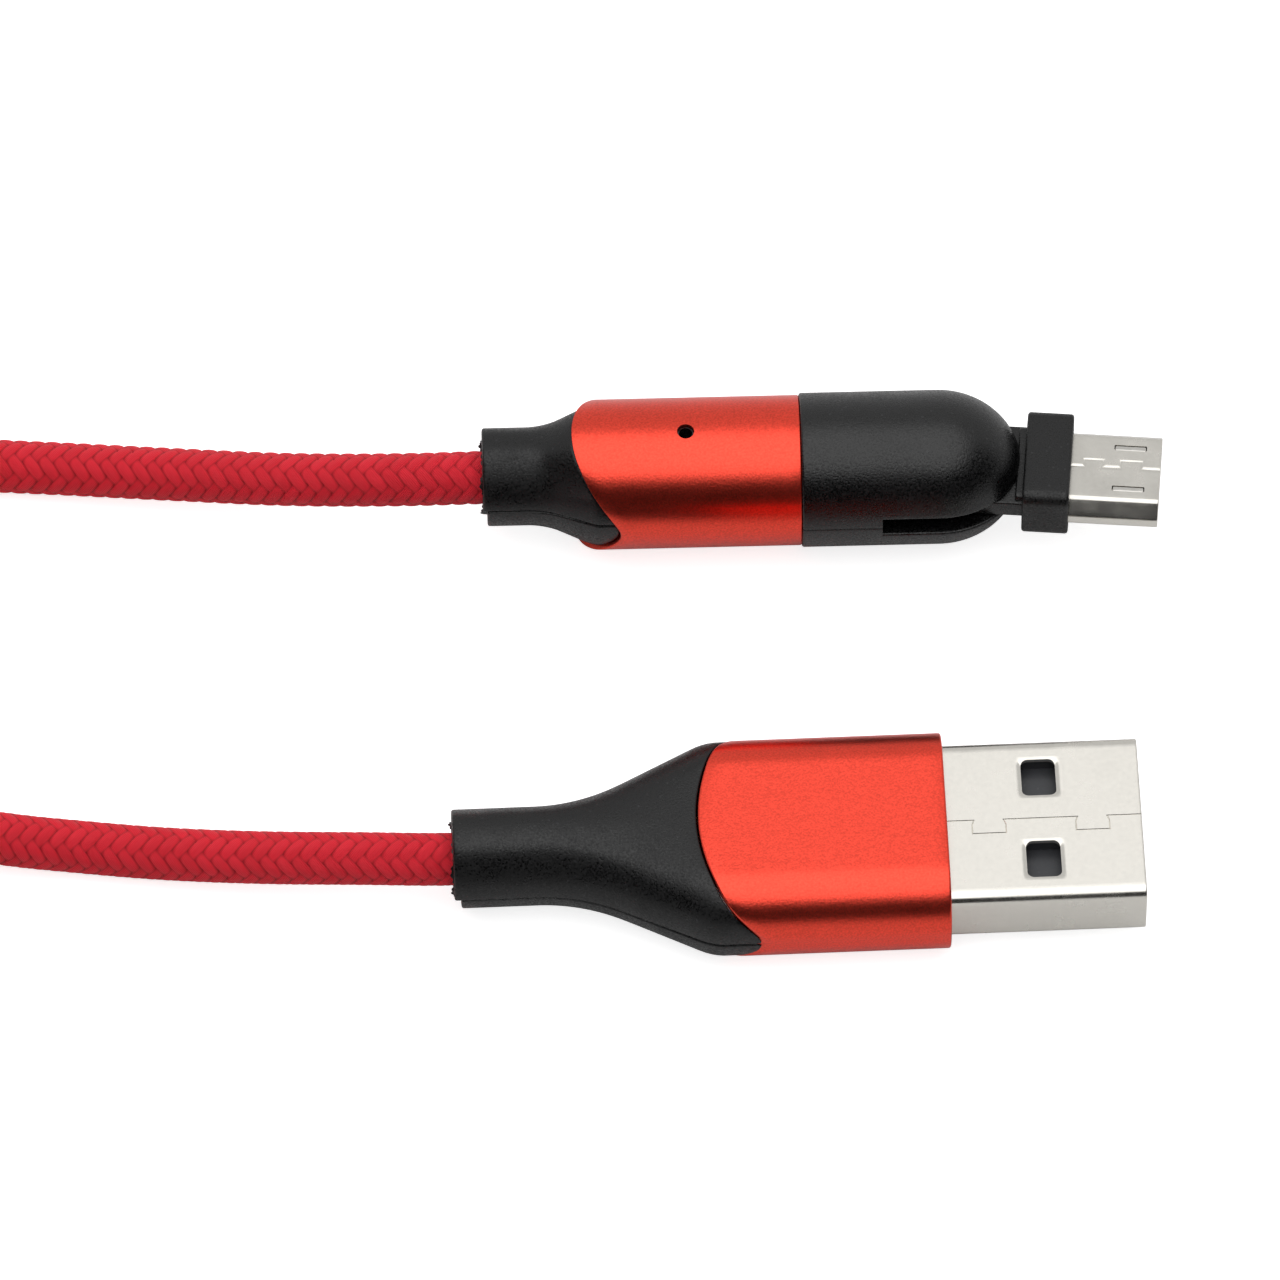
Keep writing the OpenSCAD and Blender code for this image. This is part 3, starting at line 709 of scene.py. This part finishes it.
def exit_flash(rear, radius):
    """A thin ragged skirt of moulding flash round the cord where it leaves the boot. Its length
    is a sum of sines round the ring, cut off at its shortest."""
    angle = np.linspace(0, 2 * np.pi, 180, endpoint=False)
    rooted, shortest = 0.3, 0.02
    length = (0.02 + 0.08 * np.sin(3 * angle + 0.6) + 0.08 * np.sin(8 * angle)
              + 0.05 * np.sin(29 * angle + 2))
    root, lip = 0 * angle + rear + rooted, rear - np.clip(length, shortest, 1)
    x = np.stack([root, lip, lip, root], axis=1)
    r = np.broadcast_to(radius + np.array([0.06, 0.03, -0.03, -0.06]), x.shape)
    points = np.stack([x, r * np.cos(angle)[:, None], r * np.sin(angle)[:, None]], axis=-1)
    return points.reshape(-1, 3), grid_faces(len(angle), 4, True, True)


usb_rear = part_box("usb_boot_upper")[0].x / MM - usb_front[0]
micro_rear = micro_tip - 5.7
usb_tube_r, usb_straight, usb_flare = 3.175, 5.3, 11
micro_tube_r, micro_straight, micro_flare = 3.125, 2.8, 4.5
usb_below, micro_below = 0.04, 0.30
usb_half = half_outline(usb_sleeve_w / 2 - usb_below, usb_sleeve_h / 2 - usb_below, usb_corner)
usb_half_in = half_outline(usb_sleeve_w / 2 - sleeve_wall, usb_sleeve_h / 2 - sleeve_wall,
                           usb_corner - sleeve_wall)
micro_shares = (1 - np.cos(np.linspace(0, np.pi, 72))) / 2
for word, side, usb_shorter, micro_shorter in (("upper", 1, 0.0, 0.0), ("lower", -1, 0.45, 0.27)):
    usb_boot = solid("usb_boot_half_" + word,
                     *boot_half(usb_half, usb_half_in, usb_tube_r, usb_rear + usb_shorter,
                                usb_rear + usb_straight, usb_flare, flat_tongue, 0, side), at_usb)
    fit(usb_boot, black_plastic, "usb_boot_" + word)
    micro_boot = solid("micro_boot_half_" + word,
                       *boot_half(half_disc(micro_sleeve_r - micro_below, micro_shares),
                                  half_disc(micro_sleeve_r - sleeve_wall, micro_shares),
                                  micro_tube_r, micro_rear + micro_shorter,
                                  micro_rear + micro_straight, micro_flare, round_tongue,
                                  boot_roll, side), at_micro_boot)
    fit(micro_boot, black_plastic, "micro_boot_" + word)
flash_r = 2.35
for name, rear, place in (("usb", usb_rear, at_usb), ("micro", micro_rear, at_micro_boot)):
    flash = solid(name + "_exit_flash", *exit_flash(rear, flash_r), place)
    fit(flash, black_plastic)


# ---- Swivel head -----------------------------------------------------
# Two moulded halves make a round bar with a domed end. They close on the sleeve's mould behind
# and leave a slot in front, where the arm turns.

satin_black = grained("satin_black_moulding", (0.0030, 0.0030, 0.0033), 0.33, 0.13, 0.022, patch=4.0,
                      tone=0.3, mottle=0.5, sparkle=0.16, specks=0.06, speck_colour=(0.25, 0.25, 0.27),
                      unevenness=0.05, Specular_IOR_Level=0.52)

head_r, dome_len = 4.975, 5.4
slot_half = 0.725
slot_back = -3.75


def head_half(side):
    """Half of the head as rings along X. Each ring is an arc of the round form, a flat at the
    parting plane or at the slot's wall, and a small fillet at each end of the arc."""
    edge, fillet = 0.16, 0.16
    seam_half, seam_fillet = 0.015, 0.07
    turn = np.linspace(0, np.pi / 2, 5)
    base = np.stack([head_base + edge * (1 - np.cos(turn)), head_r - edge * (1 - np.sin(turn))])
    behind_slot = np.linspace(head_base + edge, slot_back, 12)[1:]
    bar = np.concatenate([behind_slot, np.linspace(slot_back, 0, 10)])
    dome = np.linspace(0, math.acos((slot_half + 2 * fillet) / head_r), 40)[1:]
    x = np.concatenate([base[0], bar, dome_len * np.sin(dome)])
    r = np.concatenate([base[1], 0 * bar + head_r, head_r * np.cos(dome)])
    in_slot = np.arange(len(x)) >= len(base[0]) + len(behind_slot)
    flat = np.where(in_slot, slot_half, seam_half)
    soft = np.where(in_slot, fillet, seam_fillet)
    aside = np.sqrt(np.clip((r - soft) ** 2 - (flat + soft) ** 2, 0, None))
    lean = np.arctan2(flat + soft, aside)
    f = np.linspace(0, 1, 6)
    bend = -np.pi / 2 + (lean[:, None] + np.pi / 2) * f
    right = np.stack([aside[:, None] + soft[:, None] * np.cos(bend),
                      (flat + soft)[:, None] + soft[:, None] * np.sin(bend)], axis=-1)
    sweep = lean[:, None] + (np.pi - 2 * lean[:, None]) * np.linspace(0, 1, 66)[1:-1]
    over = np.stack([r[:, None] * np.cos(sweep), r[:, None] * np.sin(sweep)], axis=-1)
    left = right[:, ::-1] * [-1, 1]
    under = np.stack([aside[:, None] * np.linspace(-1, 1, 10)[1:-1],
                      flat[:, None] + np.zeros((1, 8))], axis=-1)
    ring = np.concatenate([right, over, left, under], axis=1)
    points = np.concatenate([np.broadcast_to(x[:, None, None], (*ring.shape[:2], 1)), ring], axis=-1)
    points = points.reshape(-1, 3) * [1, 1, side]
    n, m = ring.shape[:2]
    return points, grid_faces(n, m, False, True) + [list(range(m)), list(range((n - 1) * m, n * m))]


for word, side in (("upper", 1), ("lower", -1)):
    head = solid("swivel_head_" + word, *head_half(side), at_head)
    fit(head, satin_black, "head_" + word)


# ---- Arm and collar --------------------------------------------------
# The arm is a flat moulded tongue with a round hub that turns on the pin. Its front end is
# moulded into the collar, which holds the small plug.

arm_half, arm_t, hub_r, pin_hole_r = 3.2, 1.3, 3.5, 1.03
collar_x, collar_len, collar_w, collar_h, collar_corner = 5.6, 3.0, 7.5, 4.0, 0.8
neck_x, neck_w, neck_h, neck_corner = 5.12, 5.9, 2.1, 0.35


def rounded_levels(low, high, edge):
    """Levels of a slab whose edges are quarter rounds."""
    turn = np.linspace(0, np.pi / 2, 5)
    dip, rise = edge * (1 - np.sin(turn)), edge * (1 - np.cos(turn))
    return np.concatenate([np.stack([dip, low + rise], axis=1),
                           np.stack([dip, high - rise], axis=1)[::-1]])


meet = math.asin(arm_half / hub_r)
hub = np.linspace(meet, 2 * np.pi - meet, 72)
bar_x = np.linspace(hub_r * math.cos(meet) + 0.1, collar_x + 0.6, 14)
arm_outline = np.vstack([np.stack([hub_r * np.cos(hub), hub_r * np.sin(hub)], axis=1),
                         np.stack([bar_x, 0 * bar_x - arm_half], axis=1),
                         np.stack([bar_x[::-1], 0 * bar_x + arm_half], axis=1)])
arm = solid("swivel_arm_plate", *slab(arm_outline, rounded_levels(-arm_t / 2, arm_t / 2, 0.14)), at_plug)
cut(arm, solid("hole", *slab(disc(pin_hole_r, 48), [(0, -2), (0, 2)]), at_plug))
fit(arm, satin_black, "swivel_arm", "plug")

neck_outline = rounded_outline(rectangle(neck_w, neck_h), neck_corner, 0.5, 6)
neck = solid("arm_neck",
             *slab(neck_outline, rounded_levels(neck_x, collar_x + 0.5, 0.12), True), at_plug)
fit(neck, satin_black, None, "plug")

collar_outline = rounded_outline(rectangle(collar_w, collar_h), collar_corner, 0.4, 12)
collar = solid("plug_collar_block",
               *slab(collar_outline, rounded_levels(collar_x, collar_x + collar_len, 0.2), True), at_plug)
fit(collar, black_plastic, "plug_collar", "plug")


# ---- Plug shells -----------------------------------------------------
# Each plug's shell is folded from nickel-plated steel sheet. Its seam runs along the top and is
# locked by dovetail tabs. The large one has a spring window on each side of the seam, above and
# below. The small one has two slots for its latch hooks.

nickel = grained("nickel_plated_sheet", (0.76, 0.735, 0.68), 0.24, 0.30, 0.0005, patch=2.2, tone=0.05,
                 mottle=0.02, unevenness=0.06, Metallic=1.0)


def strip(path, width):
    """The outline of a thin strip that follows a line of points."""
    path = np.asarray(path, float)
    edge = np.diff(path, axis=0)
    edge /= np.linalg.norm(edge, axis=1)[:, None]
    normal = np.stack([edge[:, 1], -edge[:, 0]], axis=1)
    before, after = np.vstack([normal[:1], normal]), np.vstack([normal, normal[-1:]])
    way = (before + after) / (1 + (before * after).sum(axis=1))[:, None]
    return np.vstack([path + way * width / 2, (path - way * width / 2)[::-1]])


def dovetail(x0, x1, reach, flare=0.12):
    """The seam's way round one tab, from its rear corner to its front one."""
    return [(x0, 0), (x0 - flare, reach * 0.35), (x0 - flare, reach), (x1 + flare, reach),
            (x1 + flare, reach * 0.35), (x1, 0)]


shell_w, shell_h, shell_corner, sheet = 12.0, 4.5, 0.75, 0.3
shell_tail, shell_mouth = -6.0, 12.45
window_x, window_y, window_l, window_w, window_corner = 6.05, 3.05, 2.2, 2.7, 0.45
shell_outline = rounded_outline(rectangle(shell_w, shell_h), shell_corner, 0.2, 10)


def pressed_shell():
    """The shell's tube. Its sheet is pressed in a little at both ends of each window, by a
    depth that fades as exp(-(distance / fade)^2)."""
    dent, fade, inner_half = 0.11, 0.13, 1.8
    points, faces = walled_tube(shell_outline, sheet, lambda y, z: 0 * y + shell_tail, shell_mouth,
                                0.07, 180)
    x, y, z = points.T
    past = np.clip(np.abs(x - window_x) - window_l / 2, 0, None)
    beside = np.clip((window_w / 2 - 0.05 - np.abs(np.abs(y) - window_y)) / 0.25, 0, 1)
    on_face = np.abs(z) > inner_half
    points[:, 2] -= np.sign(z) * dent * np.exp(-(past / fade) ** 2) * beside * on_face
    return points, faces


usb_shell = solid("usb_plug_shell", *pressed_shell(), at_usb)
window = rounded_outline(rectangle(window_l, window_w), window_corner, 1, 6)
holes = [solid("hole", *slab(window + [window_x, y], [(0, -3), (0, 3)]), at_usb)
         for y in (-window_y, window_y)]
seam = [(shell_tail - 1, 0), *dovetail(1.75, 3.65, -1.0), *dovetail(8.35, 10.25, -1.0),
        (shell_mouth + 1, 0)]
cut(usb_shell, *holes, solid("seam", *slab(strip(seam, 0.09), [(0.04, 2.21), (-0.01, 2.26)]), at_usb))
fit(usb_shell, nickel, "usb_shell")

micro_tail, micro_mouth, micro_sheet = 7.5, 14.35, 0.25
micro_half, micro_top_half, micro_high, micro_shoulder = 3.425, 2.575, 0.9, -0.06
micro_corners = [(micro_half, -micro_high), (micro_half, micro_shoulder),
                 (micro_top_half, micro_high), (-micro_top_half, micro_high),
                 (-micro_half, micro_shoulder), (-micro_half, -micro_high)]
micro_outline = rounded_outline(micro_corners, [0.3, 0.35, 0.42, 0.42, 0.35, 0.3], 0.25, 7)
micro_shell = solid("micro_plug_shell",
                    *walled_tube(micro_outline, micro_sheet, lambda y, z: 0 * y + micro_tail,
                                 micro_mouth, 0.05, 30), at_plug)
collar_front = collar_x + collar_len
latch_x, latch_y, latch_slot_l, latch_slot_w = 12.35, 1.67, 2.1, 0.42
slot = rounded_outline(rectangle(latch_slot_l, latch_slot_w), 0.1, 1, 4)
slots = [solid("slot", *slab(slot + [latch_x, y], [(0, 0.3), (0, 2)]), at_plug)
         for y in (-latch_y, latch_y)]
seam = [(micro_tail - 1, 0), *dovetail(collar_front + 0.86, collar_front + 2.0, 0.58, 0.04),
        *dovetail(collar_front + 3.2, collar_front + 4.5, 0.58, 0.04), (micro_mouth + 1, 0)]
cut(micro_shell, *slots,
    solid("seam", *slab(strip(seam, 0.13), [(0.06, 0.866), (-0.01, 0.906)]), at_plug))
fit(micro_shell, nickel, "micro_shell", "plug")


# ---- Inner parts -----------------------------------------------------
# What the shells hold: moulded contact carriers, plated contacts, crimped cable clamps, the
# cores, the pin, the inner moulds and the status light on its board. Each keeps its CAD shape.

inner_finishes = {
    "black_insulator": grained("glass_filled_carrier", (0.050, 0.052, 0.058), 0.42, 0.14, 0.008, tone=0.2,
                               specks=0.15, speck_colour=(0.16, 0.16, 0.17)),
    "gold": grained("gold_flashed_contact", (0.95, 0.66, 0.26), 0.20, 0.12, 0.002, patch=0.8, tone=0.08,
                    Metallic=1.0),
    "natural_mould": grained("natural_inner_mould", (0.70, 0.67, 0.60), 0.55, 0.25, 0.010, tone=0.05,
                             Subsurface_Weight=0.15, Subsurface_Scale=1.0 * MM),
    # Painted shade: the small plug's inner mould is near black, so that where it shows through the light hole it
    # reads as the shade down the hole.
    "mould_painted_hole_shade": grained("inner_mould_painted_hole_shade", (0.02, 0.02, 0.02), 0.5, 0.25, 0.010, tone=0.1),
    "crimp_steel": grained("tinned_crimp", (0.62, 0.61, 0.59), 0.32, 0.15, 0.006, patch=1.0, Metallic=1.0),
    "spring_steel": grained("spring_steel", (0.70, 0.68, 0.64), 0.18, 0.10, 0.002, patch=0.7, Metallic=1.0),
    "nickel": nickel,
    "copper_cores": grained("core_insulation", (0.60, 0.20, 0.07), 0.45, 0.20, 0.006, tone=0.3),
    # Painted shade: the status light's lens is near black, so that it reads as the shade at the bottom of the
    # light hole.
    "led_lens": grained("lens_painted_hole_shade", (0.008, 0.008, 0.007), 0.12, 0.20, 0.001, Coat_Weight=0.6),
    "circuit_board": grained("green_solder_mask", (0.02, 0.12, 0.05), 0.30, 0.30, 0.010, patch=0.6,
                             tone=0.4, specks=0.8, speck_colour=(0.85, 0.70, 0.35)),
}
inner_parts = {
    "usb_insulator": "black_insulator", "micro_insulator": "black_insulator",
    "usb_contacts": "gold", "micro_contacts": "gold",
    "usb_inner_mould": "natural_mould", "micro_inner_mould": "mould_painted_hole_shade",
    "usb_cable_clamp": "crimp_steel", "micro_cable_clamp": "crimp_steel",
    "pivot_pin": "nickel",
    "usb_cores": "copper_cores", "micro_cores": "copper_cores",
    "status_led": "led_lens", "led_board": "circuit_board",
}
for node, finish in inner_parts.items():
    for place in frame["nodes"][node].material_slots:
        place.material = inner_finishes[finish]


# ---- Latch springs ---------------------------------------------------
# Two thin leaves of spring steel lie under the small shell's roof. At the front of each a hook
# stands up into its slot, where it catches the socket.

leaf_x, leaf_l, leaf_w = 10.55, 5.1, 0.34
hook_l, hook_w = 2.0, 0.38
leaf = rounded_outline(rectangle(leaf_l, leaf_w), 0.08, 0.5, 3)
hook = rounded_outline(rectangle(hook_l, hook_w), 0.1, 0.3, 4)
latch_parts = [slab(outline + [x, y], rounded_levels(low, high, 0.05))
               for y in (-latch_y, latch_y)
               for outline, x, low, high in ((leaf, leaf_x, 0.40, 0.62), (hook, latch_x, 0.60, 0.86))]
starts = np.cumsum([0] + [len(points) for points, _ in latch_parts])
latches = solid("latch_springs", np.vstack([points for points, _ in latch_parts]),
                [[corner + start for corner in face]
                 for start, (_, faces) in zip(starts, latch_parts) for face in faces], at_plug)
fit(latches, inner_finishes["spring_steel"], "micro_latches", "plug")


# ---- Hank tie --------------------------------------------------------
# A strap of hook-and-loop tape holds the folded cord at its waist. It is woven with a low pile,
# and its free end laps over itself on one side.

tie_low, tie_high = (np.array(c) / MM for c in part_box("hank_tie"))
tie_middle = (tie_low + tie_high) / 2


def strap():
    """A band round the hank. Its skin steps out where the free end laps over the start, and
    sinks back over the last of the lap."""
    band, lap_t, corner = 0.58, 0.22, 1.6
    lap_from, lap_to = 0.20, 0.58
    width, height = tie_high[1] - tie_low[1], tie_high[2] - tie_low[2]
    outline = rounded_outline(rectangle(width, height), corner, 0.15, 16)
    n = len(outline)
    turn = np.arange(n) / n
    lap = np.clip((turn - lap_from) / 0.004, 0, 1) * np.clip((lap_to - turn) / 0.10, 0, 1)
    out = corner_normals(outline)[:, None]
    share, past, depth = wall_section(1, 0.2, 24)
    top = lap_t * (1 - lap)
    skin = top[:, None] + (band - top)[:, None] * depth
    half = (tie_high[0] - tie_low[0]) / 2
    across = outline[:, None] - out * skin[..., None]
    x = np.broadcast_to(half * (2 * share - 1) + past, skin.shape)
    points = np.concatenate([x[..., None], across], axis=-1).reshape(-1, 3)
    return points, grid_faces(n, len(share), True, True)


pile_black = grained("looped_tape", (0.030, 0.030, 0.034), 0.85, 0.30, 0.12, patch=1.2, tone=0.35,
                     specks=0.3, speck_colour=(0.10, 0.10, 0.11), Sheen_Weight=0.6, Sheen_Roughness=0.5)
tie = solid("hook_and_loop_tie", *strap(), (tie_middle, turned(0)))
fit(tie, pile_black, "hank_tie")


# ---- Table and light -------------------------------------------------
# A white table under a wide soft ceiling of light, as in a product studio. The room behind the
# camera is dark, which gives the metal its dark bands.

table_half = 2
table_mesh = bpy.data.meshes.new("table")
table_mesh.from_pydata([(x * table_half, y * table_half, 0)
                        for x, y in ((-1, -1), (1, -1), (1, 1), (-1, 1))], [], [(0, 1, 2, 3)])
table = bpy.data.objects.new("table", table_mesh)
bpy.context.scene.collection.objects.link(table)
table_white, tree, surface = blank_material("white_table", Base_Color=(0.86, 0.86, 0.86, 1), Roughness=0.6,
                                            Emission_Color=(1, 1, 1, 1))
exposed = add(tree, "ShaderNodeLightPath").outputs["Is Camera Ray"]
tree.links.new(maths(tree, "MULTIPLY", exposed, 0.78), surface.inputs["Emission Strength"])
table_mesh.materials.append(table_white)

softbox_axis, softbox_strength = (0, -0.09, 0.996), 1.65
world = bpy.data.worlds.new("studio")
world.use_nodes = True
tree = world.node_tree
direction = add(tree, "ShaderNodeTexCoord").outputs["Generated"]
off_axis = add(tree, "ShaderNodeVectorMath", {0: direction, 1: softbox_axis}, operation="DOT_PRODUCT")
softbox = remap(tree, off_axis.outputs["Value"], 0.75, 0.85, interpolation_type="SMOOTHSTEP")
sideways = add(tree, "ShaderNodeSeparateXYZ", {0: direction}).outputs[1]
room = remap(tree, sideways, -0.15, 0.25, 0.03, 0.64, interpolation_type="SMOOTHSTEP")
lit = add(tree, "ShaderNodeMix", {0: softbox, 2: room, 3: softbox_strength})
seen = add(tree, "ShaderNodeLightPath").outputs["Is Camera Ray"]
shown = add(tree, "ShaderNodeMix", {0: seen, 2: lit.outputs[0], 3: 1.0})
tree.links.new(shown.outputs[0], tree.nodes["Background"].inputs["Strength"])
tree.nodes["Background"].inputs["Color"].default_value = (1, 1, 1, 1)
bpy.context.scene.world = world
bpy.context.scene.view_settings.view_transform = "Standard"
